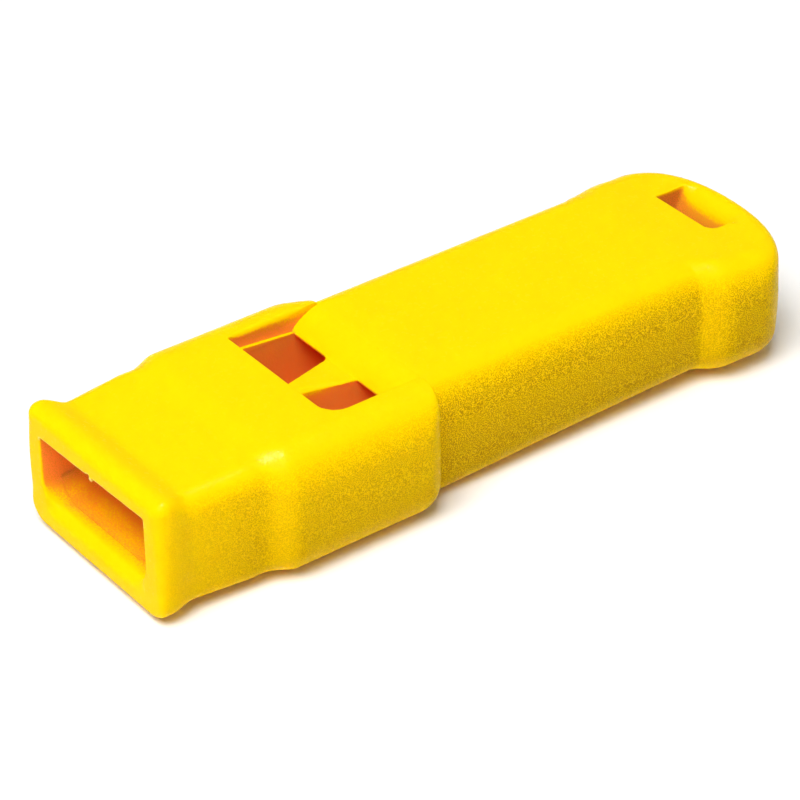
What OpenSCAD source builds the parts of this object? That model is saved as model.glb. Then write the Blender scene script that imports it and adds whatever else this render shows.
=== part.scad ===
// Flat safety whistle without a pea.
// Three mouldings: a head with mouthpiece and collar, a rear resonator body
// with two chambers and a lanyard eye, and a windway block inside the head.
// Lengths are in millimetres. x runs from the mouth to the rear, z is up, and
// the origin is the middle of the outline on the surface the whistle lies on.

/* [Overall] */
// Length from the mouth face to the rear end
total_len = 60; // [58:0.5:64]
// Height of the collar and of the front of the body
total_h = 10.5; // [10.4:0.1:10.8]

/* [Mouthpiece] */
// Width across the lip round the mouth
lip_w = 17.7; // [17.3:0.1:18]
// Length of the lip along the whistle, with its fading rear side
lip_len = 3.3; // [2.9:0.1:3.6]
// Width of the mouthpiece just behind the lip
mouth_w_front = 17; // [16.7:0.1:17.2]
// Width of the mouthpiece where it meets the collar bulge
mouth_w_rear = 17.8; // [17.5:0.1:18.2]
// Width of the mouth opening
opening_w = 13.5; // [13:0.1:13.6]
// Height of the mouth floor above the rest face
opening_floor = 2.6; // [2.5:0.05:2.7]
// Height of the mouth ceiling at the front
opening_ceiling = 8.5; // [8.45:0.05:8.6]
// Radius of the lower corners of the mouth
mouth_corner_r = 2; // [1:0.1:2.2]

/* [Collar] */
// Width across the collar
collar_w = 20.3; // [20:0.1:21]
// Where the collar ends, measured from the mouth
collar_end = 24.4; // [24.2:0.1:25]
// Radius that rounds the sides of the collar's rear end
collar_end_r = 1.9; // [1.2:0.1:2]
// Radius of the collar's long corners
collar_corner_r = 3; // [2.6:0.1:3.2]

/* [Windows] */
// Front edge of both windows, measured from the mouth
window_front = 16.3; // [16.1:0.1:16.5]
// Width of the open top of the collar
notch_w = 12.8; // [12.6:0.1:12.9]
// Width over both windows and the rib between them
window_w = 12.2; // [11.8:0.1:12.2]
// Radius of the open top's one round front corner
notch_corner_r = 1.7; // [0.8:0.1:2]
// Where the sharp edge of the labium stands
labium_x = 22; // [21.8:0.1:22.1]
// Height of the labium edge
labium_z = 8.82; // [8.76:0.02:8.88]
// Steepness of the face behind the labium, rise over run
labium_slope = 1.5; // [1.4:0.1:1.7]
// Height of the windway where it meets the windows
windway_h = 1.1; // [0.9:0.05:1.3]

/* [Body] */
// Width of the rear body
body_w = 16.4; // [16.2:0.1:16.8]
// How far the underside of the body rises before the eye
belly_rise = 0.6; // [0.2:0.05:0.8]
// Radius of the body's long corners
body_corner_r = 2.4; // [2.2:0.1:2.6]
// Depth of the longer chamber's end, measured from the mouth
chamber_long = 49; // [44:0.5:49.5]
// Depth of the shorter chamber's end, measured from the mouth
chamber_short = 42; // [36:0.5:47]
// Thickness of the wall between the two chambers
septum_t = 1.8; // [1.4:0.1:2.2]

/* [Lanyard eye] */
// Width of the flared rear end
eye_w = 18.9; // [18.4:0.1:19.4]
// Length of the lanyard slot across the whistle
slot_len = 6.5; // [6:0.1:7.5]
// Width of the lanyard slot along the whistle, at its narrowest
slot_w = 1.85; // [1.7:0.05:2.2]
// How far the slot's rear wall rolls back at the top and at the underside
slot_roll = 1.25; // [0.6:0.05:1.3]
// Distance from the slot's front edge to the rear end
slot_back = 5.15; // [5.1:0.05:5.4]

/* [Hidden] */
$fn = 48;

yellow = [0.98, 0.84, 0.04];
yellow_body = [0.97, 0.80, 0.05];
yellow_block = [0.90, 0.62, 0.08];

fit = 0.05;                                  // clearance between mouldings
socket_w = 16;                               // collar socket, across
socket_z0 = 1.3;                             // collar socket, floor
socket_z1 = labium_z - 0.07;                 // collar socket, ceiling
seat_x = 1.6;                                // front of the block's seat
seat_z = 1.9;                                // floor of the block's seat
flange_x = window_front - 1.3;               // front of the block's flange
windway_top = labium_z + 0.18;               // windway ceiling at the windows
windway_floor = windway_top - windway_h;     // windway floor at the windows
chamber_z0 = socket_z0 + 1.05;               // chamber floor
plate_slope = 0.095;                         // fall of the window plate towards the labium
rib_near = -1.22;                            // rib at the window front, near side
rib_far = -0.13;                             // rib at the window front, far side
rib_near_slope = -0.115;
rib_far_slope = 0.329;
land_z = total_h - 0.12;                     // start of the land behind the steep face
ramp_end = 26.9;                             // where the land reaches the top
ramp_knee_r = 1.6;
eye_x0 = total_len - 10.2;                   // start of the flare
eye_x1 = total_len - 8.4;                    // end of the flare
arc_x = total_len - 5.32;                    // start of the rounded end
arc_n = 2.2;                                 // fullness of the rounded end
mid_z = 5.2;                                 // height at which the sides are widest

function ramp(a, b, x) = min(max((x - a) / (b - a), 0), 1);
function ease(a, b, x) = let (t = ramp(a, b, x)) t * t * (3 - 2 * t);
function mix(a, b, t) = a + (b - a) * t;
// 0 before a, 1 after b, straight between them, with the corners rounded
function turn(t, r) = t < -r ? 0 : t > r ? t : pow(t + r, 2) / (4 * r);
function knee(a, b, ra, rb, x) = (turn(x - a, ra) - turn(x - b, rb)) / (b - a);
// how far the sides draw in above and below their middle height
function draft(z) = 0.05 * (sqrt(pow(z - mid_z, 2) + 1) - 1);

// ---- outer form of the head, as rounded cross sections along x ----
bulge_x0 = 8.3;
bulge_x1 = 11.3;
lip_edge_r = 0.85;
function lip_on(x) = 1 - ease(1.08, lip_len, x);
function lip_inset(x) =
    x >= lip_edge_r ? 0 : lip_edge_r - sqrt(max(0, pow(lip_edge_r, 2) - pow(lip_edge_r - x, 2)));
function end_inset(x) = let (d = x - (collar_end - collar_end_r))
    d <= 0 ? 0 : collar_end_r - sqrt(max(0, pow(collar_end_r, 2) - d * d));
function head_y(x) =
    mix(mouth_w_front, mouth_w_rear, ramp(2.7, bulge_x0, x)) / 2
    + (collar_w - mouth_w_rear) / 2 * ease(bulge_x0, bulge_x1, x)
    + (lip_w - mouth_w_front) / 2 * lip_on(x) - lip_inset(x) - end_inset(x);
function head_top(x) =
    mix(mix(total_h - 0.61, total_h - 0.37, ramp(2.7, bulge_x0, x)), total_h, ease(bulge_x0, bulge_x1, x))
    + 0.54 * lip_on(x) - lip_inset(x);
function head_bottom(x) =
    mix(mix(0.66, 0.49, ramp(2.7, bulge_x0, x)), 0, ease(bulge_x0, bulge_x1, x))
    - 0.27 * lip_on(x) + lip_inset(x);
function head_r(x) =
    mix(1.6, collar_corner_r, ease(bulge_x0 - 0.4, bulge_x1, x)) - 0.55 * ease(22.4, collar_end, x);

head_x = concat(
    [for (a = [0:22.5:90]) lip_edge_r * (1 - cos(a))],
    [for (i = [0:6]) mix(1.08, lip_len, i / 6)],
    [for (i = [0:6]) mix(bulge_x0 - 0.4, bulge_x1, i / 6)],
    [17],
    [for (a = [0:15:75]) collar_end - collar_end_r + collar_end_r * sin(a)],
    [collar_end]);

// Corner points of one cross section, in four quarter arcs
arc_steps = 5;
function section(x, y, z0, z1, upper, lower) = [
    for (q = [0:3]) each concat(
        [for (k = [0:arc_steps])
            let (a = 90 * q + 90 * k / arc_steps,
                 s = (q == 0 || q == 3) ? 1 : -1,
                 r = q < 2 ? upper : lower,
                 z = (q < 2 ? z1 - r : z0 + r) + r * sin(a))
            [x, s * (y - r - draft(z)) + r * cos(a), z]],
        q == 1 ? [[x, -y, mid_z]] : q == 3 ? [[x, y, mid_z]] : [])];

module loft(rings) {
    n = len(rings[0]);
    m = len(rings);
    polyhedron(
        points = [for (ring = rings) each ring],
        faces = concat(
            [[for (j = [0:n - 1]) j]],
            [for (i = [0:m - 2]) for (j = [0:n - 1])
                let (k = (j + 1) % n) each [
                    [i * n + j, (i + 1) * n + j, i * n + k],
                    [(i + 1) * n + j, (i + 1) * n + k, i * n + k]]],
            [[for (j = [n - 1:-1:0]) (m - 1) * n + j]]));
}

// ---- outer form of the body, as inset plan outlines stacked in z ----
function flare(x) = knee(eye_x0, eye_x1, 0.25, 0.55, x);
function body_y(x) = body_w / 2 + (eye_w - body_w) / 2 * flare(x);
function body_slope(x) = (body_y(x + 0.02) - body_y(x - 0.02)) / 0.04;
function body_top(x) = total_h - 0.1 * ramp(collar_end, 49, x) - 0.45 * ease(total_len - 11, total_len - 3, x);
function body_bottom(x) = belly_rise * ramp(collar_end, 49, x) * (1 - flare(x)) + 0.2 * flare(x)
    + 0.1 * pow(ramp(arc_x, total_len, x), 2);
function end_on(x) = ease(total_len - 6, total_len - 0.5, x);
function upper_r(x) = body_corner_r + 0.1 * flare(x) - 1.6 * end_on(x);
function lower_r(x) = body_corner_r - 0.25 + 0.25 * ramp(collar_end, 40, x) + flare(x) - 1.5 * end_on(x);

// Each point of the plan outline with the direction in which it is inset
function arc_dir(a) = let (u = pow(sin(a), 2 / arc_n), v = pow(cos(a), 2 / arc_n),
    g = [pow(u, arc_n - 1) / (total_len - arc_x), pow(v, arc_n - 1) / (eye_w / 2)]) g / norm(g);
straight_x = concat(
    [collar_end, ramp_end, 32, 40, total_len - 11],
    [for (i = [0:8]) mix(eye_x0 - 0.25, eye_x1 + 0.55, i / 8)],
    [total_len - 6.6]);
side_pts = concat(
    [for (x = straight_x) [[x, body_y(x)], [0, sqrt(1 + pow(body_slope(x), 2))]]],
    [for (a = [0:10:90]) [
        [mix(arc_x, total_len, pow(sin(a), 2 / arc_n)), eye_w / 2 * pow(cos(a), 2 / arc_n)], arc_dir(a)]]);
side_n = len(side_pts) - 1;
function layer(a, from_top) = let (
    half = [for (p = side_pts)
        let (x = p[0][0],
             r = from_top ? upper_r(x) : lower_r(x),
             inset = from_top ? r * (1 - cos(a)) : r * (1 - sin(a)),
             z = from_top ? body_top(x) - r * (1 - sin(a)) : body_bottom(x) + r * (1 - cos(a)),
             at = p[0] - (inset + draft(z)) * p[1])
        [at[0], max(at[1], 0), z]])
    mirrored(half);
function mirrored(half) = concat(half, [for (i = [side_n - 1:-1:0]) [half[i][0], -half[i][1], half[i][2]]]);
body_layers = concat(
    [for (a = [0:18:90]) layer(a, false)],
    [mirrored([for (p = side_pts) [p[0][0], p[0][1], mid_z]])],
    [for (a = [0:18:90]) layer(a, true)]);

module body_form() {
    n = 2 * side_n + 1;
    m = len(body_layers);
    top = (m - 1) * n;
    polyhedron(
        points = [for (l = body_layers) each l],
        faces = concat(
            [for (i = [0:m - 2]) for (j = [0:n - 2]) each [
                [i * n + j, i * n + j + 1, (i + 1) * n + j],
                [i * n + j + 1, (i + 1) * n + j + 1, (i + 1) * n + j]]],
            [for (j = [0:side_n - 2]) each [
                [j, n - 1 - j, j + 1], [n - 1 - j, n - 2 - j, j + 1]]],
            [[side_n - 1, side_n + 1, side_n]],
            [for (j = [0:side_n - 2]) each [
                [top + j, top + j + 1, top + n - 1 - j], [top + n - 1 - j, top + j + 1, top + n - 2 - j]]],
            [[top + side_n - 1, top + side_n, top + side_n + 1]],
            [for (i = [0:m - 2]) each [
                [i * n, (i + 1) * n, i * n + n - 1], [(i + 1) * n, (i + 1) * n + n - 1, i * n + n - 1]]]));
}

// ---- shared cutters and prisms ----
// Profile in the x-z plane, extruded across the whistle
module across(w, y = 0) {
    translate([0, y + w / 2, 0]) rotate([90, 0, 0]) linear_extrude(w) children();
}
// Profile in the y-z plane, extruded along the whistle
module along(x0, x1) {
    translate([x0, 0, 0]) rotate([90, 0, 90]) linear_extrude(x1 - x0) children();
}
// Plan outline, extruded upwards
module upward(z0, z1) {
    translate([0, 0, z0]) linear_extrude(z1 - z0) children();
}
// Rectangular bar along x with round long corners
module bar(x0, x1, w, z0, z1, r) {
    along(x0, x1) translate([0, (z0 + z1) / 2])
        union() {
            square([w - 2 * r, z1 - z0], center = true);
            square([w, z1 - z0 - 2 * r], center = true);
            for (sy = [-1, 1]) for (sz = [-1, 1])
                translate([sy * (w / 2 - r), sz * ((z1 - z0) / 2 - r)]) circle(r);
        }
}
// Plan of the collar's open top, with one round front corner
module notch_plan(gap) {
    w = notch_w / 2;
    polygon(concat(
        [[window_front + gap, w - gap]],
        [for (a = [180:15:270]) [
            window_front + notch_corner_r + (notch_corner_r - gap) * cos(a),
            notch_corner_r - w + (notch_corner_r - gap) * sin(a)]],
        [[collar_end + 1, gap - w], [collar_end + 1, w - gap]]));
}

// Profile behind the labium: a steep face that bends into a nearly level land
steep_a = atan(labium_slope);
land_x = labium_x + (land_z - labium_z) / labium_slope + ramp_knee_r * tan(steep_a / 2);
ramp_pts = concat(
    [[labium_x, labium_z]],
    [for (k = [0:5]) let (a = 90 + steep_a * (1 - k / 5))
        [land_x + ramp_knee_r * cos(a), land_z - ramp_knee_r + ramp_knee_r * sin(a)]],
    [[ramp_end, total_h]]);

function ceiling(x) = mix(opening_ceiling, windway_top, ramp(0, window_front, x));

module head_shell() color(yellow) translate([-total_len / 2, 0, 0])
    difference() {
        loft([for (x = head_x) section(x, head_y(x), head_bottom(x), head_top(x),
            head_r(x) - 0.68 * lip_on(x), head_r(x) + 0.08 * lip_on(x))]);
        // mouth with round lower corners
        intersection() {
            across(opening_w) polygon([
                [-1, opening_floor], [seat_x + 0.01, opening_floor],
                [seat_x + 0.01, ceiling(seat_x)], [0, opening_ceiling], [-1, opening_ceiling]]);
            along(-1, seat_x + 0.01) polygon(concat(
                [[opening_w / 2, 9.5], [-opening_w / 2, 9.5]],
                [for (a = [180:15:270]) [mouth_corner_r * (1 + cos(a)) - opening_w / 2, opening_floor + mouth_corner_r * (1 + sin(a))]],
                [for (a = [270:15:360]) [opening_w / 2 - mouth_corner_r * (1 - cos(a)), opening_floor + mouth_corner_r * (1 + sin(a))]]));
        }
        // windway and seat of the block
        across(opening_w) polygon([
            [seat_x, seat_z], [flange_x + 0.5, seat_z], [flange_x + 0.5, windway_floor],
            [window_front + 1, windway_floor], [window_front + 1, windway_top],
            [window_front, windway_top], [seat_x, ceiling(seat_x)]]);
        // socket for the body and for the block's flange
        bar(flange_x, window_front + 0.4, socket_w, socket_z0, windway_floor, 1.2);
        bar(window_front, collar_end + 1, socket_w, socket_z0, socket_z1, 1.5);
        // open top over the windows and the ramp
        upward(socket_z1 - 2, total_h + 1) notch_plan(0);
    }

// Plan of one chamber; its front part is also the plan of the window above it
module chamber_plan(side) {
    y = side * window_w / 2;
    depth = side > 0 ? chamber_long : chamber_short;
    rib = side > 0
        ? [[window_front - 1, rib_far], [window_front, rib_far],
           [labium_x, rib_far + rib_far_slope * (labium_x - window_front)], [labium_x + 0.9, septum_t / 2]]
        : [[window_front - 1, rib_near], [window_front, rib_near],
           [28, rib_near + rib_near_slope * (28 - window_front)], [34, -septum_t / 2]];
    polygon(concat([[window_front - 1, y]], rib, [[depth, side * septum_t / 2], [depth, y]]));
}

module resonator_body() color(yellow_body) translate([-total_len / 2, 0, 0])
    difference() {
        union() {
            difference() {
                union() {
                    body_form();
                    // labium wedge in the open top of the collar
                    across(notch_w - 2 * fit) polygon([
                        [labium_x, labium_z - 1.5], [collar_end + 0.5, labium_z - 1.5],
                        [collar_end + 0.5, total_h], [labium_x, total_h]]);
                }
                across(40) polygon(concat(
                    [[labium_x - 1, labium_z - 1.5]], ramp_pts, [[ramp_end, 14], [labium_x - 1, 14]]));
            }
            bar(window_front, collar_end + 1, socket_w - 2 * fit, socket_z0 + fit, socket_z1 - fit, 1.5);
            // plate that the windows are cut in
            intersection() {
                upward(labium_z - 1.3, total_h) notch_plan(fit);
                across(20) polygon([
                    [window_front, labium_z - 1.4], [labium_x + 0.2, labium_z - 1.4], [labium_x + 0.2, labium_z],
                    [labium_x, labium_z], [window_front, labium_z + plate_slope * (labium_x - window_front)]]);
            }
        }
        for (side = [-1, 1]) {
            upward(chamber_z0, labium_z - 0.12) chamber_plan(side);
            // the windows, open upwards in front of the labium
            upward(labium_z - 0.4, total_h + 1) intersection() {
                chamber_plan(side);
                translate([window_front - 1, -window_w / 2]) square([labium_x - window_front + 1, window_w]);
            }
        }
        // lanyard slot with a waisted rear wall
        across(slot_len) translate([total_len - slot_back, 0]) polygon(concat(
            [[0, total_h + 1], [0, -1]],
            [for (i = [0:12]) let (z = mix(-1, total_h + 1, i / 12)) [slot_w + slot_roll * pow((z - 5) / 5, 2), z]]));
    }

// Upper face of the block: mouth floor, rise and windway floor
block_x0 = seat_x + fit;
rise_x1 = 13;
function block_top(x) = mix(opening_floor, windway_floor - 0.15, knee(2.6, rise_x1, 1, 2, x));
block_pts = [for (i = [0:16]) let (x = mix(block_x0, rise_x1 + 2, i / 16)) [x, block_top(x)]];

module windway_block() color(yellow_block) translate([-total_len / 2, 0, 0])
    union() {
        difference() {
            union() {
                across(opening_w - 2 * fit) polygon(concat(
                    [[block_x0, seat_z]], block_pts,
                    [[window_front, windway_floor - fit], [window_front, seat_z]]));
                // flange held between the head and the body
                bar(flange_x, window_front, socket_w - 2 * fit, socket_z0 + fit, windway_floor - fit, 1.2);
            }
            // hollows from below that keep the walls even
            for (s = [-1, 1]) across(opening_w / 2 - 2.4, s * (opening_w / 4 - 0.2))
                polygon(concat(
                    [[7, seat_z - 1]],
                    [for (i = [7:14]) block_pts[i] + [0.4, -1.5]],
                    [[flange_x - 0.4, windway_floor - 1.7], [flange_x - 0.4, seat_z - 1]]));
        }
        // divider that feeds the two windows
        upward(windway_floor - 1, windway_top - 0.3) polygon([
            [rise_x1 - 0.8, (rib_near + rib_far) / 2], [rise_x1 + 0.8, rib_near], [window_front, rib_near],
            [window_front, rib_far], [rise_x1 + 0.8, rib_far]]);
    }

head_shell();
resonator_body();
windway_block();
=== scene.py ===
import math

import bpy
import numpy as np
from mathutils import Matrix, Vector
from mathutils.bvhtree import BVHTree


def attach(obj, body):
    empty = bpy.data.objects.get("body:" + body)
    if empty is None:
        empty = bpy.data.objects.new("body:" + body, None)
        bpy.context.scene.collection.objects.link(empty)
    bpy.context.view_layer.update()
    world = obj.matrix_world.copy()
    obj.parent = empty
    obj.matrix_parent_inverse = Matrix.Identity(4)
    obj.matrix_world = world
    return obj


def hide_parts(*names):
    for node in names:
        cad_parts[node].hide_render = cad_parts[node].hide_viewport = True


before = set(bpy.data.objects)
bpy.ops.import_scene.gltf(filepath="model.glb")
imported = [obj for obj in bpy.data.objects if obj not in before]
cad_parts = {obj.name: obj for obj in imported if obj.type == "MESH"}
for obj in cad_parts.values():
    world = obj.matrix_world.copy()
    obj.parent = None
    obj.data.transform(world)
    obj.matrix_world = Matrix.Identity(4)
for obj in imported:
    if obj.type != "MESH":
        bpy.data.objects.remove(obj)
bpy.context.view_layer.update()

# The mouldings are described as distance fields in millimetres, x from the
# mouth face (0) to the rear end (60), z above the rest face. Each field is
# meshed on a grid that is fine at edges, and every vertex is moved onto the
# surface. The CAD origin is the middle of the length.
MM = 0.001
MID = 30.0


# ---------------------------------------------------------------- distances
def lin(a, b, x):
    return np.clip((x - a) / (b - a), 0.0, 1.0)


def ease(a, b, x):
    t = lin(a, b, x)
    return t * t * (3.0 - 2.0 * t)


def mix(a, b, t):
    return a + (b - a) * t


def both(a, b, r):
    """Intersection with an edge of radius r."""
    return np.minimum(np.maximum(a, b), -r) + np.hypot(np.maximum(a + r, 0.0), np.maximum(b + r, 0.0))


def either(a, b, r):
    """Union with a fillet of radius r."""
    return -both(-a, -b, r)


def without(a, b, r):
    return both(a, -b, r)


def most(*fields):
    out = fields[0]
    for f in fields[1:]:
        out = np.maximum(out, f)
    return out


def least(*fields):
    out = fields[0]
    for f in fields[1:]:
        out = np.minimum(out, f)
    return out


def knee(a, b, ra, rb, x):
    """0 before a, 1 after b, straight between them, with the corners rounded."""
    def turn(t, r):
        return np.where(t < -r, 0.0, np.where(t > r, t, (t + r) ** 2 / (4.0 * r)))
    return (turn(x - a, ra) - turn(x - b, rb)) / (b - a)


def draft(z):
    """How far the sides draw in above and below the middle of the height."""
    return 0.05 * (np.sqrt((z - 5.2) ** 2 + 1.0) - 1.0)


def level(f, x, v):
    """Distance of v from the curve f(x), allowing for its slope."""
    h = 0.02
    s = (f(x + h) - f(x - h)) / (2 * h)
    return (v - f(x)) / np.sqrt(1.0 + s * s)


# ---------------------------------------------------------------- head
BULGE0, BULGE1 = 8.3, 11.3
COLLAR_END, COLLAR_R = 24.4, 1.9
WINDOW_X = 16.3
NOTCH_Y = 6.4
OPEN_Y = 6.75
FLOOR_Z = 2.6
SEAT_X = 1.6
FUNNEL_R = 2.0


def swell(x):
    """The lip round the mouth: 1 at the front, fading out behind it."""
    return 1.0 - ease(1.08, 3.3, x)


def head_half(x):
    return (mix(8.49, 8.91, lin(2.7, BULGE0, x)) + 0.35 * swell(x) + 1.26 * ease(BULGE0, BULGE1, x)
            - 0.04 * lin(BULGE1, COLLAR_END, x))


def head_top(x):
    return mix(mix(9.89, 10.13, lin(2.7, BULGE0, x)), 10.5, ease(BULGE0, BULGE1, x)) + 0.54 * swell(x)


def head_bottom(x):
    return mix(mix(0.66, 0.49, lin(2.7, BULGE0, x)), 0.0, ease(BULGE0, BULGE1, x)) - 0.27 * swell(x)


def head_corner(x):
    return mix(1.6, 3.0, ease(BULGE0 - 0.4, BULGE1, x))


def head_field(x, y, z):
    ay = np.abs(y)
    side = level(head_half, x, ay) + draft(z) + np.where(y > 0, 0.95 * knee(22.4, 24.4, 0.7, 0.1, x), 0.0)
    top, base, corner = level(head_top, x, z), -level(head_bottom, x, z), head_corner(x)
    upper = both(side, top, corner - 0.68 * swell(x))
    lower = both(side, base, corner + 0.08 * swell(x))
    d = np.maximum(upper, lower)
    d = both(d, -x, mix(0.88, 0.8, ease(-3.0, 3.0, y)) + 0.18 * ease(6.5, 9.5, z) - 0.3 * ease(3.5, 1.5, z))
    # the rear end of the collar is round at the sides and below, and sharp on top
    reach = np.maximum(side + corner, 0.0)
    turn = np.arctan2(reach, np.maximum(top + corner, 1e-6))
    above = np.where(y > 0, ease(0.35, 0.9, turn), ease(0.17, 1.57, turn))
    below = ease(0.0, 0.8, np.arctan2(reach, np.maximum(base + corner, 1e-6)))
    d = both(d, x - COLLAR_END, 0.05 + COLLAR_R * np.where(z > 5.2, above, below))
    # mouth and windway; the lower edge and the lower corners of the mouth are full rounds
    roof = z - (8.5 + 0.5 * lin(0.0, WINDOW_X, x) - 0.035 * y * lin(6.0, 0.0, x))
    way = np.maximum(both(ay - OPEN_Y, roof, 0.12), both(ay - OPEN_Y, FLOOR_Z - z, FUNNEL_R))
    way = np.maximum(way, x - (WINDOW_X + 0.3))
    d = without(d, way, 0.14 + 0.96 * ease(3.4, 2.2, z))
    # seat of the windway block
    d = np.maximum(d, -most(ay - OPEN_Y, 1.9 - z, z - FLOOR_Z - FUNNEL_R - 0.1, SEAT_X - x, x - 15.5))
    # sockets
    flange = most(both(ay - 8.0, np.abs(z - 4.6) - 3.3, 1.2), 15.0 - x, x - (WINDOW_X + 0.4))
    socket = np.maximum(both(ay - 8.0, np.abs(z - 5.025) - 3.725, 1.5), WINDOW_X - x)
    d = most(d, -flange, -socket)
    # open top over the windows and the ramp; one front corner is round, the far edge is soft
    plan = both(ay - NOTCH_Y, WINDOW_X - x, np.where(y < 0, 1.7, 0.06))
    soft = 0.06 * (1.0 - ease(21.4, 22.4, x)) + 0.34 * ease(4.8, 6.2, y) * ease(16.4, 17.4, x) * (1.0 - ease(22.2, 23.8, x))
    d = without(d, np.maximum(plan, 8.6 - z), soft * ease(9.2, 9.6, z) + 0.004)
    # gate mark in the middle of the upper lip
    nub = np.sqrt((x - 0.12) ** 2 + (y + 0.1) ** 2 + ((z - 8.5) * 0.8) ** 2) - 0.2
    nick = np.sqrt((x - 0.05) ** 2 + (y - 0.28) ** 2 + (z - 8.46) ** 2) - 0.26
    return either(without(d, nick, 0.05), nub, 0.06)


# ---------------------------------------------------------------- body
ARC_X, ARC_N = 54.68, 2.2
BODY_HALF, EYE_HALF = 8.2, 9.45
LABIUM_X, LABIUM_Z = 22.0, 8.82
WINDOW_Y = 6.1


def flare(x):
    return knee(49.7, 51.9, 0.3, 0.9, x)


def body_half(x):
    return BODY_HALF + (EYE_HALF - BODY_HALF) * flare(x)


def body_top(x):
    return 10.5 - 0.1 * lin(24.4, 49.0, x) - 0.45 * ease(49.0, 57.0, x)


def body_bottom(x):
    return 0.6 * lin(24.4, 49.0, x) * (1.0 - flare(x)) + 0.2 * flare(x) + 0.1 * lin(ARC_X, 60.0, x) ** 2


def body_plan(x, y):
    shift = y + 0.2 * flare(x)
    early = 1.25 * (flare(x) - knee(49.2, 52.0, 0.3, 1.2, x))
    ay = np.where(shift > 0, shift * (1.0 + 0.03 * flare(x)) + early * ease(0.0, 4.0, shift), -shift)
    side = level(body_half, x, ay)
    u = np.maximum(x - ARC_X, 1e-6) / (60.0 - ARC_X)
    v = np.maximum(ay, 1e-6) / EYE_HALF
    n = np.where(shift > 0, ARC_N - 0.15, ARC_N)
    q = u**n + v**n
    k = q ** (1.0 / n - 1.0)
    grad = k * np.hypot(u ** (n - 1.0) / (60.0 - ARC_X), v ** (n - 1.0) / EYE_HALF)
    end = (q ** (1.0 / n) - 1.0) / grad
    return np.where(x < ARC_X, side, end)


def plate(x):
    """Top of the plate that the windows are cut in; it falls a little towards the labium."""
    return LABIUM_Z + 0.095 * (LABIUM_X - x)


def rib_far(x):
    return -0.13 + 0.329 * (x - WINDOW_X)


def rib_near(x):
    return -1.22 - 0.115 * (x - WINDOW_X)


def body_field(x, y, z):
    ay = np.abs(y)
    plan = body_plan(x, y) + draft(z)
    upper = 2.4 + 0.1 * flare(x) - 1.6 * ease(54.0, 59.5, x)
    lower = 2.15 + 0.25 * lin(24.4, 40.0, x) + 1.0 * flare(x) - 1.5 * ease(54.0, 59.5, x)
    form = np.maximum(both(plan, level(body_top, x, z), upper), both(plan, -level(body_bottom, x, z), lower))
    form = np.maximum(form, COLLAR_END + 0.01 - x)
    tongue = most(ay - (NOTCH_Y - 0.006), LABIUM_X - x, x - COLLAR_END - 0.01, z - 10.5, 7.0 - z)
    # ramp behind the labium: a steep face, then a nearly level land
    steep = (z - (LABIUM_Z + 1.5 * (x - LABIUM_X))) / math.hypot(1.0, 1.5)
    fade = ease(-3.6, -0.6, y)
    land = z - (10.5 - 0.18 * fade * ease(26.9, 23.9, x))
    ramp = both(steep, land, 1.6)
    front = both(np.minimum(form, tongue), ramp, 0.03)
    spigot = most(both(ay - 7.95, np.abs(z - 5.025) - 3.675, 1.5), WINDOW_X + 0.02 - x, x - 25.0)
    pad = most(ay - (NOTCH_Y - 0.006), WINDOW_X + 0.012 - x, x - LABIUM_X - 0.5, (z - plate(x)) * 0.9955, 7.0 - z)
    d = np.minimum(either(front, pad, 1e-6 + 0.25 * ease(6.2, 5.8, ay)), spigot)
    # the two chambers behind the labium, and the windows in front of it with the rib between them
    inner = lin(21.9, 22.9, x)
    far = most((mix(rib_far(x), 0.9, inner) - y) * 0.9, y - WINDOW_Y, x - 49.0)
    near = most((y - mix(rib_near(x), -0.9, lin(28.0, 34.0, x))) * 0.98, -WINDOW_Y - y, x - 42.0)
    d = without(d, most(np.minimum(far, near), 2.35 - z, 15.0 - x, z - (LABIUM_Z - 0.12)), 0.03)
    below = np.maximum(2.35 - z, 15.0 - x)
    far = most(both((rib_far(x) - y) * 0.95, x - LABIUM_X, 0.45), y - WINDOW_Y, below)
    near = most(both((y - rib_near(x)) * 0.993, x - LABIUM_X, 0.25), -WINDOW_Y - y, below)
    d = without(d, far, 0.03)
    d = without(d, near, 0.03 + 0.82 * ease(1.8, 0.5, np.abs(rib_near(x) - y)) * ease(21.6, 18.6, x))
    # lanyard slot: one front corner is round, and the rear wall rolls over into the top
    rear = 56.7 + 0.05 * (z - 5.0) ** 2
    slot = both(np.maximum(54.85 - x, (x - rear) * 0.93), ay - 3.25, np.where(y < 0, 0.9 + 0.6 * ease(55.8, 57.0, x), 0.2))
    return without(d, slot, mix(0.1, 1.0, ease(56.5, 57.6, x) * ease(3.2, 2.2, y)))


# ---------------------------------------------------------------- block
def block_top(x):
    return mix(FLOOR_Z, 7.75, knee(2.6, 13.0, 1.0, 2.5, x)) + 0.1 * lin(13.0, WINDOW_X, x)


def block_field(x, y, z):
    ay = np.abs(y)
    trough = either(level(block_top, x, z), OPEN_Y - ay, mix(FUNNEL_R, 0.15, ease(5.0, 12.0, x)))
    wedge = most(trough, ay - (OPEN_Y - 0.005), 1.92 - z, SEAT_X + 0.004 - x, x - (WINDOW_X - 0.01))
    flange = most(both(ay - 7.95, np.abs(z - 4.6) - 3.25, 1.2), 15.03 - x, x - (WINDOW_X - 0.01))
    d = np.minimum(wedge, flange)
    hollow = most(np.abs(ay - 3.2) - 2.1, level(block_top, x, z) + 1.3, 7.0 - x, x - 14.6)
    d = without(d, hollow, 0.1)
    y0 = mix(-0.68, -1.22, lin(12.2, 13.8, x))
    y1 = mix(-0.68, -0.13, lin(12.2, 13.8, x))
    divider = most(y0 - y, y - y1, 12.2 - x, x - (WINDOW_X - 0.01), z - 8.7, 6.8 - z)
    return either(d, divider, 0.1)


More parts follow.
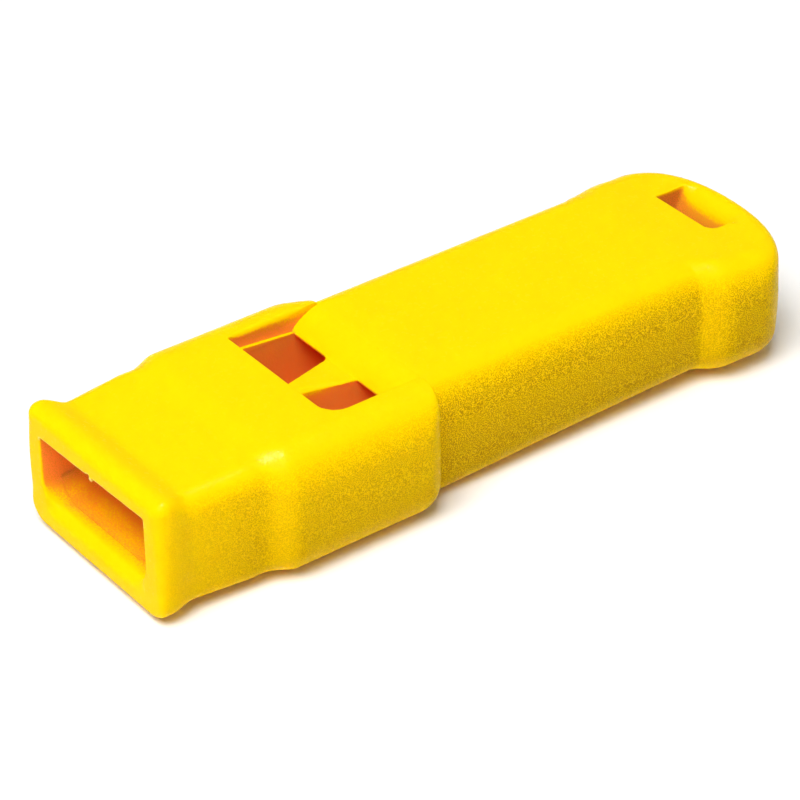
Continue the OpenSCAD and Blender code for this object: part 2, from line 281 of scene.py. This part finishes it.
# ---------------------------------------------------------------- meshing
def lines(lo, hi, base, fine):
    """Grid lines from lo to hi, base apart, closer near each (place, reach, step)."""
    out = [lo]
    while out[-1] < hi:
        x = out[-1]
        out.append(x + min([base] + [s + 0.25 * max(abs(x - c) - w, 0.0) for c, w, s in fine]))
    return np.array(out)


def gradient(field, p, h=0.002):
    out = np.empty_like(p)
    for k in range(3):
        d = np.zeros(3)
        d[k] = h
        out[:, k] = (field(*(p + d).T) - field(*(p - d).T)) / (2 * h)
    return out


def nets(field, xs, ys, zs):
    """Vertices and quads of the field's zero surface, one vertex in each cell it passes.

    A vertex lies where the tangent planes at the cell's crossings meet, so edges stay sharp.
    """
    n = (len(xs), len(ys), len(zs))
    f = np.broadcast_to(field(xs[:, None, None], ys[None, :, None], zs[None, None, :]), n)
    inside = f < 0
    count = np.zeros([k - 1 for k in n], np.int8)
    for dx in (0, 1):
        for dy in (0, 1):
            for dz in (0, 1):
                count += inside[dx:n[0] - 1 + dx, dy:n[1] - 1 + dy, dz:n[2] - 1 + dz]
    active = (count > 0) & (count < 8)
    cells = np.argwhere(active)
    index = np.full(active.shape, -1, np.int64)
    index[active] = np.arange(len(cells))
    grid = (xs, ys, zs)
    sums = np.zeros((len(cells), 16))
    quads = []
    for axis in range(3):
        a, b = (axis + 1) % 3, (axis + 2) % 3
        low = [slice(1, -1)] * 3
        high = [slice(1, -1)] * 3
        low[axis], high[axis] = slice(0, -1), slice(1, None)
        here, there = inside[tuple(low)], inside[tuple(high)]
        edge = np.argwhere(here != there)
        out = here[tuple(edge.T)]
        edge[:, a] += 1
        edge[:, b] += 1
        after = edge.copy()
        after[:, axis] += 1
        f0, f1 = f[tuple(edge.T)], f[tuple(after.T)]
        p = np.stack([grid[k][edge[:, k]] for k in range(3)], 1)
        p[:, axis] += f0 / (f0 - f1) * (grid[axis][after[:, axis]] - p[:, axis])
        v = gradient(field, p)
        v /= np.maximum(np.linalg.norm(v, axis=1), 1e-9)[:, None]
        reach = (v * p).sum(1)
        terms = [np.ones(len(p)), *p.T, *v.T]
        terms += [v[:, i] * v[:, j] for i, j in ((0, 0), (1, 1), (2, 2), (0, 1), (0, 2), (1, 2))]
        terms += [v[:, i] * reach for i in range(3)]
        ring = []
        for da, db in ((-1, -1), (0, -1), (0, 0), (-1, 0)):
            c = edge.copy()
            c[:, a] += da
            c[:, b] += db
            c = index[tuple(c.T)]
            ring.append(c)
            for k, term in enumerate(terms):
                sums[:, k] += np.bincount(c, weights=term, minlength=len(cells))
        ring = np.stack(ring, 1)
        ring[~out] = ring[~out][:, ::-1]
        quads.append(ring)
    hits = sums[:, 0]
    mean = sums[:, 1:4] / hits[:, None]
    square = sums[:, [7, 10, 11, 10, 8, 12, 11, 12, 9]].reshape(-1, 3, 3)
    rest = sums[:, 13:16] - np.einsum("nij,nj->ni", square, mean)
    place = mean + np.linalg.solve(square + 0.02 * hits[:, None, None] * np.eye(3), rest[:, :, None])[:, :, 0]
    for k in range(3):
        place[:, k] = np.clip(place[:, k], grid[k][cells[:, k]], grid[k][cells[:, k] + 1])
    smooth = np.linalg.norm(sums[:, 4:7], axis=1) / hits > 0.95
    place[smooth] = settle(field, place[smooth])
    return place, np.concatenate(quads)


def settle(field, p, rounds=3):
    for _ in range(rounds):
        g = gradient(field, p)
        move = g * (field(*p.T) / np.maximum((g * g).sum(1), 0.3))[:, None]
        size = np.linalg.norm(move, axis=1)
        p = p - move * np.minimum(1.0, 0.1 / np.maximum(size, 1e-9))[:, None]
    return p


def bend(field, p, h=0.1):
    """Sum of the surface's curvatures per millimetre, positive on outer edges."""
    total = -6.0 * field(*p.T)
    for k in range(3):
        d = np.zeros(3)
        d[k] = h
        total += field(*(p + d).T) + field(*(p - d).T)
    return total / h**2


def make_piece(name, field, xs, ys, zs):
    place, quads = nets(field, xs, ys, zs)
    mesh = bpy.data.meshes.new(name)
    mesh.vertices.add(len(place))
    mesh.vertices.foreach_set("co", ((place - (MID, 0.0, 0.0)) * MM).ravel())
    mesh.loops.add(quads.size)
    mesh.loops.foreach_set("vertex_index", quads.ravel())
    mesh.polygons.add(len(quads))
    mesh.polygons.foreach_set("loop_start", np.arange(0, quads.size, 4))
    mesh.update(calc_edges=True)
    mesh.validate()
    mesh.polygons.foreach_set("use_smooth", np.ones(len(mesh.polygons), bool))
    mesh.set_sharp_from_angle(angle=math.radians(38.0))
    mesh.update()
    ob = bpy.data.objects.new(name, mesh)
    bpy.context.scene.collection.objects.link(ob)
    return ob, place, quads


def both_sides(fine):
    return fine + [(-c, w, s) for c, w, s in fine]


head, head_p, head_q = make_piece(
    "head_moulding", head_field,
    lines(-0.35, 24.7, 0.4, [(0.4, 0.7, 0.1), (2.1, 0.9, 0.17), (16.3, 0.25, 0.07), (24.3, 0.2, 0.09), (22.0, 0.6, 0.2), (17.3, 0.8, 0.15)]),
    lines(-10.6, 10.6, 0.4, both_sides([(6.55, 0.35, 0.08), (8.1, 0.5, 0.2), (9.6, 0.6, 0.2), (0.1, 0.5, 0.1)])),
    lines(-0.35, 11.2, 0.35, [(2.2, 0.5, 0.1), (8.7, 0.4, 0.08), (10.3, 0.6, 0.09), (0.4, 0.5, 0.14)]))
body, body_p, body_q = make_piece(
    "body_moulding", body_field,
    lines(16.0, 60.3, 0.56, [(16.35, 0.2, 0.07), (22.1, 0.4, 0.07), (19.5, 2.5, 0.15), (24.5, 0.3, 0.1), (26.0, 1.0, 0.2), (50.7, 1.3, 0.18), (55.0, 0.3, 0.1), (58.3, 0.8, 0.14), (59.6, 0.5, 0.14)]),
    lines(-10.1, 9.9, 0.44, both_sides([(6.3, 0.25, 0.07), (7.9, 0.5, 0.2), (3.4, 0.3, 0.12)]) + [(0.0, 2.2, 0.135)]),
    lines(-0.3, 10.8, 0.37, [(8.95, 0.35, 0.066), (10.3, 0.4, 0.09), (2.35, 0.1, 0.12), (0.4, 0.4, 0.16)]))
block, block_p, block_q = make_piece(
    "windway_insert", block_field,
    lines(1.35, 16.6, 0.35, [(1.6, 0.2, 0.08), (16.2, 0.2, 0.1), (13.0, 1.0, 0.2)]),
    lines(-8.2, 8.2, 0.4, both_sides([(6.6, 0.15, 0.08), (7.9, 0.1, 0.15)]) + [(-0.7, 0.8, 0.15)]),
    lines(1.1, 9.0, 0.3, [(1.95, 0.1, 0.1), (2.6, 0.2, 0.08), (7.9, 0.2, 0.1), (8.7, 0.1, 0.1)]))
pieces = [
    (head, head_field, head_p, head_q),
    (body, body_field, body_p, body_q),
    (block, block_field, block_p, block_q),
]


# ---------------------------------------------------------------- surface facts
# openness: the share of directions in which a spot sees out of the whistle, less on upright walls; the colour ramp
# paints shade into the openings from it, and it is raised where light is painted on two walls of the open top.
# edge: how strongly the surface turns there, for the pale highlight painted along the upper edge of the mouth.
def directions(n):
    k = np.arange(n) + 0.5
    up = 1.0 - 2.0 * k / n
    turn = k * math.pi * (3.0 - math.sqrt(5.0))
    r = np.sqrt(1.0 - up * up)
    return np.stack([r * np.cos(turn), r * np.sin(turn), up], 1)


offset, all_p, all_q = 0, [], []
for _, _, p, q in pieces:
    all_p.append(p)
    all_q.append(q + offset)
    offset += len(p)
tree = BVHTree.FromPolygons(np.concatenate(all_p).tolist(), np.concatenate(all_q).tolist())
rays = directions(72)
ray_vectors = [Vector(d) for d in rays]


def in_cavity(p):
    x, y, z = p.T
    ay = np.abs(y)
    mouth = (x < 16.6) & (ay < 7.2) & (z > 1.0) & (z < 9.3)
    window = (x > 16.0) & (x < 24.6) & (ay < 6.95) & (z > 2.2)
    slot = (x > 54.2) & (x < 59.2) & (ay < 4.6)
    return mouth | window | slot


def sealed(p):
    """Inner surfaces that can't be seen from outside."""
    x, y, z = p.T
    ay = np.abs(y)
    return (x > 15.0) & (x < 50.0) & (ay < np.where(x < 24.3, 8.05, 6.5)) & (z > 1.25) & (z < 8.8)


for ob, field, p, q in pieces:
    g = gradient(field, p)
    normal = g / np.maximum(np.linalg.norm(g, axis=1), 1e-9)[:, None]
    shade_openness = np.ones(len(p))
    hidden = sealed(p)
    spots = np.flatnonzero(in_cavity(p))
    for i in spots:
        way_out = Vector(normal[i])
        if tree.ray_cast(Vector(p[i] + 0.002 * normal[i]), way_out, 0.1)[0] is not None:
            hidden[i] = True
            continue
        start = Vector(p[i] + 0.04 * normal[i])
        facing = rays @ normal[i]
        seen = total = 0.0
        for k in np.flatnonzero(facing > 0.05):
            total += facing[k]
            if tree.ray_cast(start, ray_vectors[k], 80.0)[0] is None:
                seen += facing[k]
        share = seen / total
        # painted shade: upright walls, and the mouth further in, get less openness than the rays find, so they are
        # painted darker
        upright_shade = (1.0 - min(1.0, 1.3 * abs(normal[i][2]))) * (0.5 + 0.5 * abs(normal[i][1]))
        inner = ease(1.8, 5.2, p[i][0]) * ease(16.0, 13.0, p[i][0])
        shade_openness[i] = share * (1.0 - 0.7 * upright_shade * ease(0.9, 0.7, share)) * (1.0 - 0.55 * inner)
        # painted light: the upper part of the rib's near wall and of the far wall of the open top is made paler, as
        # if light ran down them
        px, py, pz = p[i]
        if 16.3 < px < 24.4 and normal[i][1] < -0.2:
            if abs(py - rib_near(px)) < 0.8:
                painted_light = 0.45 * ease(1.3, 0.1, plate(px) - pz) * ease(21.4, 18.4, px)
                shade_openness[i] = max(shade_openness[i], painted_light)
            elif abs(py - NOTCH_Y) < 0.6:
                painted_light = mix(0.2, 0.46, lin(17.0, 22.0, px)) * ease(1.6, 0.1, 10.5 - pz)
                shade_openness[i] = max(shade_openness[i], painted_light)
        hidden[i] = False
    # the faces hidden in a seam take the value of its rim, then the noise of the rays is evened out
    pairs = np.concatenate([q[:, [0, 1]], q[:, [1, 2]], q[:, [2, 3]], q[:, [3, 0]]])
    pairs = np.concatenate([pairs, pairs[:, ::-1]])
    shade_openness[hidden] = 0.0
    for _ in range(12):
        total, number = np.zeros(len(p)), np.zeros(len(p))
        known = ~hidden[pairs[:, 1]]
        np.add.at(total, pairs[known, 0], shade_openness[pairs[known, 1]])
        np.add.at(number, pairs[known, 0], 1.0)
        filled = hidden & (number > 0)
        shade_openness[filled] = total[filled] / number[filled]
        hidden = hidden & ~filled
    for _ in range(3):
        total, number = shade_openness.copy(), np.ones(len(p))
        np.add.at(total, pairs[:, 0], shade_openness[pairs[:, 1]])
        np.add.at(number, pairs[:, 0], 1.0)
        shade_openness = total / number
    # painted highlight: a pale line along the upper edge of the mouth
    rim = (p[:, 0] < 0.6) & (np.abs(p[:, 2] - 8.5) < 0.4)
    edge = np.clip((bend(field, p) - 1.5) / 4.0, 0.0, 1.0) * rim
    for key, values in (("shade_openness", shade_openness), ("edge", edge)):
        ob.data.attributes.new(key, "FLOAT", "POINT").data.foreach_set("value", values.astype(np.float32))


# ---------------------------------------------------------------- materials
def plastic(name, yellow, half_shade_colour, deep_shade_colour, first, recess_shade_colour, side_shade_strength, underside_shade, seed):
    """Moulded yellow plastic with fine speckle; painted shade deepens the colour inside the openings and darkens the
    sides towards the underside, and a highlight is painted along the mouth's upper edge.
    """
    mat = bpy.data.materials.new(name)
    mat.use_nodes = True
    nodes, links = mat.node_tree.nodes, mat.node_tree.links
    nodes.clear()
    out = nodes.new("ShaderNodeOutputMaterial")
    shader = nodes.new("ShaderNodeBsdfPrincipled")
    links.new(shader.outputs["BSDF"], out.inputs["Surface"])
    coords = nodes.new("ShaderNodeTexCoord")

    def noise(scale, detail, shift):
        place = nodes.new("ShaderNodeMapping")
        place.inputs["Location"].default_value = (shift + seed, shift * 0.7, -shift)
        links.new(coords.outputs["Object"], place.inputs["Vector"])
        tex = nodes.new("ShaderNodeTexNoise")
        tex.inputs["Scale"].default_value = scale
        tex.inputs["Detail"].default_value = detail
        links.new(place.outputs["Vector"], tex.inputs["Vector"])
        return tex.outputs["Fac"]

    def ramp(value, stops):
        node = nodes.new("ShaderNodeValToRGB")
        while len(node.color_ramp.elements) < len(stops):
            node.color_ramp.elements.new(0.5)
        for e, (at, colour) in zip(node.color_ramp.elements, stops):
            e.position = at
            e.color = (*colour, 1.0)
        node.color_ramp.interpolation = "EASE"
        links.new(value, node.inputs["Fac"])
        return node.outputs["Color"]

    def blend(kind, factor, a, b):
        node = nodes.new("ShaderNodeMix")
        node.data_type = "RGBA"
        node.blend_type = kind
        if isinstance(factor, float):
            node.inputs["Factor"].default_value = factor
        else:
            links.new(factor, node.inputs["Factor"])
        for key, value in ((6, a), (7, b)):
            if isinstance(value, tuple):
                node.inputs[key].default_value = (*value, 1.0)
            else:
                links.new(value, node.inputs[key])
        return node.outputs[2]

    def spread(value, lo, hi, to_lo, to_hi):
        node = nodes.new("ShaderNodeMapRange")
        for key, number in (("From Min", lo), ("From Max", hi), ("To Min", to_lo), ("To Max", to_hi)):
            node.inputs[key].default_value = number
        links.new(value, node.inputs["Value"])
        return node.outputs["Result"]

    def fact(key):
        node = nodes.new("ShaderNodeAttribute")
        node.attribute_name = key
        return node.outputs["Fac"]

    def times(a, b, kind="MULTIPLY"):
        node = nodes.new("ShaderNodeMath")
        node.operation = kind
        links.new(a, node.inputs[0])
        links.new(b, node.inputs[1])
        return node.outputs["Value"]

    # painted shade: the faces turned along y, the sides, are darkened with a dark speckle and carry paler specks of
    # the mould's fine spark-eroded grain; the top is left plain
    facing = nodes.new("ShaderNodeSeparateXYZ")
    links.new(nodes.new("ShaderNodeNewGeometry").outputs["Normal"], facing.inputs["Vector"])
    across = nodes.new("ShaderNodeMath")
    across.operation = "ABSOLUTE"
    links.new(facing.outputs["Y"], across.inputs[0])
    place = nodes.new("ShaderNodeSeparateXYZ")
    links.new(coords.outputs["Object"], place.inputs["Vector"])
    side_shade_and_grain = times(spread(across.outputs["Value"], 0.58, 1.0, 0.0, 1.0), spread(fact("shade_openness"), 0.75, 0.95, 0.0, 1.0))
    # the painted side shade and its speckle are faint beside the lip
    side_shade_and_grain = times(side_shade_and_grain, spread(place.outputs["X"], -0.0295, -0.0215, 0.25, 1.0))
    grain = noise(11000.0, 0.0, 1.3)
    cloud = noise(420.0, 3.0, 4.1)
    shade = times(fact("shade_openness"), spread(grain, 0.35, 0.65, -0.05, 0.05), "ADD")
    # painted shade: the ramp turns the yellow amber and then deep orange where the openness is low
    colour = ramp(shade, [(first, deep_shade_colour), (0.25, half_shade_colour), (0.43, yellow), (1.0, yellow)])
    # painted shade: deep in the mouth and in the lanyard slot the colour is darkened further, broken up by the grain
    ends = nodes.new("ShaderNodeMath")
    ends.operation = "ABSOLUTE"
    links.new(place.outputs["X"], ends.inputs[0])
    recess_shade_and_grain = times(spread(ends.outputs["Value"], 0.0225, 0.0245, 0.0, 1.0), spread(shade, 0.45, 0.2, 0.0, 1.0))
    colour = blend("MULTIPLY", times(recess_shade_and_grain, spread(grain, 0.3, 0.7, 0.2, 1.0)), colour, recess_shade_colour)
    colour = blend("MULTIPLY", spread(cloud, 0.3, 0.7, 0.0, 0.35), colour, (1.0, 0.93, 0.8))
    colour = blend("MULTIPLY", times(side_shade_and_grain, spread(grain, 0.32, 0.68, 0.0, side_shade_strength)), colour, (0.5, 0.42, 0.27))
    colour = blend("MIX", times(side_shade_and_grain, spread(grain, 0.4, 0.25, 0.0, 0.5 * side_shade_strength)), colour, (1.0, 0.74, 0.01))
    # painted shade: the sides are darkened further towards the underside
    colour = blend("MULTIPLY", times(side_shade_and_grain, spread(place.outputs["Z"], 0.0085, 0.001, 0.0, underside_shade)), colour, (0.6, 0.58, 0.54))
    # painted highlight along the mouth's upper edge
    colour = blend("MIX", spread(fact("edge"), 0.1, 1.0, 0.0, 0.6), colour, (1.0, 0.86, 0.3))
    links.new(colour, shader.inputs["Base Color"])
    links.new(spread(noise(2600.0, 3.0, 2.2), 0.3, 0.7, 0.18, 0.3), shader.inputs["Roughness"])
    bump = nodes.new("ShaderNodeBump")
    bump.inputs["Strength"].default_value = 0.5
    bump.inputs["Distance"].default_value = 0.00005
    links.new(noise(5200.0, 3.0, 3.7), bump.inputs["Height"])
    links.new(bump.outputs["Normal"], shader.inputs["Normal"])
    shader.inputs["Specular IOR Level"].default_value = 0.02
    shader.inputs["Specular Tint"].default_value = (1.0, 0.95, 0.7, 1.0)
    shader.inputs["Subsurface Weight"].default_value = 0.5
    shader.inputs["Subsurface Radius"].default_value = (1.0, 0.6, 0.1)
    shader.inputs["Subsurface Scale"].default_value = 0.0008
    return mat


YELLOW = (0.96, 0.62, 0.0006)
# colour painted in half shade inside the openings
HALF_SHADE_AMBER = (0.9, 0.34, 0.02)
# each piece: painted deep-shade colour and where it starts, darkening painted deep in the mouth and slot, strength of
# the painted side shade, painted shade towards the underside, noise seed
for ob, slot, node, deep_shade_colour, first, recess_shade_colour, side_shade_strength, underside_shade, seed in (
    (head, "head_plastic", "head_shell", (1.0, 0.3, 0.05), 0.1, (0.84, 0.88, 0.9), 0.7, 0.65, 0.0),
    (body, "body_plastic", "resonator_body", (0.9, 0.27, 0.04), 0.05, (0.68, 0.72, 0.74), 1.0, 0.8, 0.31),
    (block, "block_plastic", "windway_block", (1.0, 0.3, 0.05), 0.1, (0.84, 0.88, 0.9), 0.3, 0.3, 0.57),
):
    ob.data.materials.append(plastic(slot, YELLOW, HALF_SHADE_AMBER, deep_shade_colour, first, recess_shade_colour, side_shade_strength, underside_shade, seed))
    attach(ob, "root")
    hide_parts(node)

# ---------------------------------------------------------------- camera
# Taken from the outline: azimuth, elevation, roll, distance and offsets in the
# picture, then a small turn about Y that levels the whistle on its rest face.
FOCAL_PX = 3540.77
az, el, roll, level_turn = math.radians(-36.80), math.radians(33.57), math.radians(-0.204), 0.0104
back = Vector((math.sin(az) * math.cos(el), -math.cos(az) * math.cos(el), math.sin(el)))
right = (-back).cross(Vector((0, 0, 1))).normalized()
up = right.cross(-back)
right, up = right * math.cos(roll) + up * math.sin(roll), up * math.cos(roll) - right * math.sin(roll)
eye = Vector((30.0, 0.0, 5.5)) + back * 265.94 - right * 2.194 - up * 2.261
turn = Matrix.Rotation(level_turn, 3, "Y")
eye = turn @ (eye - Vector((24, 0, 0))) + Vector((24, 0, 0))
right, up, back = turn @ right, turn @ up, turn @ back
cam = bpy.data.objects.new("camera", bpy.data.cameras.new("camera"))
place = Matrix((right, up, back)).transposed().to_4x4()
place.translation = (eye - Vector((MID, 0, 0))) * MM
cam.matrix_world = place
cam.data.sensor_width = 36.0
cam.data.lens = FOCAL_PX * 36.0 / 800.0
cam.data.clip_start, cam.data.clip_end = 0.01, 10.0
bpy.context.scene.collection.objects.link(cam)
bpy.context.scene.camera = cam

# ---------------------------------------------------------------- floor and light
floor_mesh = bpy.data.meshes.new("floor")
side = 2.0
floor_mesh.from_pydata([(-side, -side, 0), (side, -side, 0), (side, side, 0), (-side, side, 0)], [], [(0, 1, 2, 3)])
floor = bpy.data.objects.new("floor", floor_mesh)
bpy.context.scene.collection.objects.link(floor)
paper = bpy.data.materials.new("floor_paper")
paper.use_nodes = True
sheet = paper.node_tree.nodes["Principled BSDF"]
sheet.inputs["Base Color"].default_value = (0.86, 0.86, 0.86, 1)
sheet.inputs["Roughness"].default_value = 0.9
sheet.inputs["Specular IOR Level"].default_value = 0.0
floor_mesh.materials.append(paper)


def softbox(name, where, target, size, power, colour=(1, 1, 1)):
    data = bpy.data.lights.new(name, "AREA")
    data.shape = "RECTANGLE"
    data.size, data.size_y = size
    data.energy = power
    data.color = colour
    ob = bpy.data.objects.new(name, data)
    ob.location = where
    ob.rotation_euler = (Vector(target) - Vector(where)).to_track_quat("-Z", "Y").to_euler()
    bpy.context.scene.collection.objects.link(ob)
    return ob


softbox("key", (-0.34, -0.20, 0.78), (0, 0, 0.005), (0.5, 0.5), 10.1)
# small lamps that only show as glints on the rounded corners
for name, where, power in (("glint", (0.02, 0.03, 0.50), 9.0),):
    lamp = softbox(name, where, (-0.02, 0, 0.01), (0.03, 0.03), power)
    lamp.visible_diffuse = False
world = bpy.data.worlds.new("studio")
world.use_nodes = True
world.node_tree.nodes["Background"].inputs["Color"].default_value = (1, 1, 1, 1)
world.node_tree.nodes["Background"].inputs["Strength"].default_value = 0.22
bpy.context.scene.world = world
bpy.context.scene.view_settings.view_transform = "Standard"
# light goes on between the walls of the mouth, the windows and the slot
bpy.context.scene.cycles.max_bounces = 24
bpy.context.scene.cycles.diffuse_bounces = 24

# ---------------------------------------------------------------- finish
bpy.context.view_layer.update()
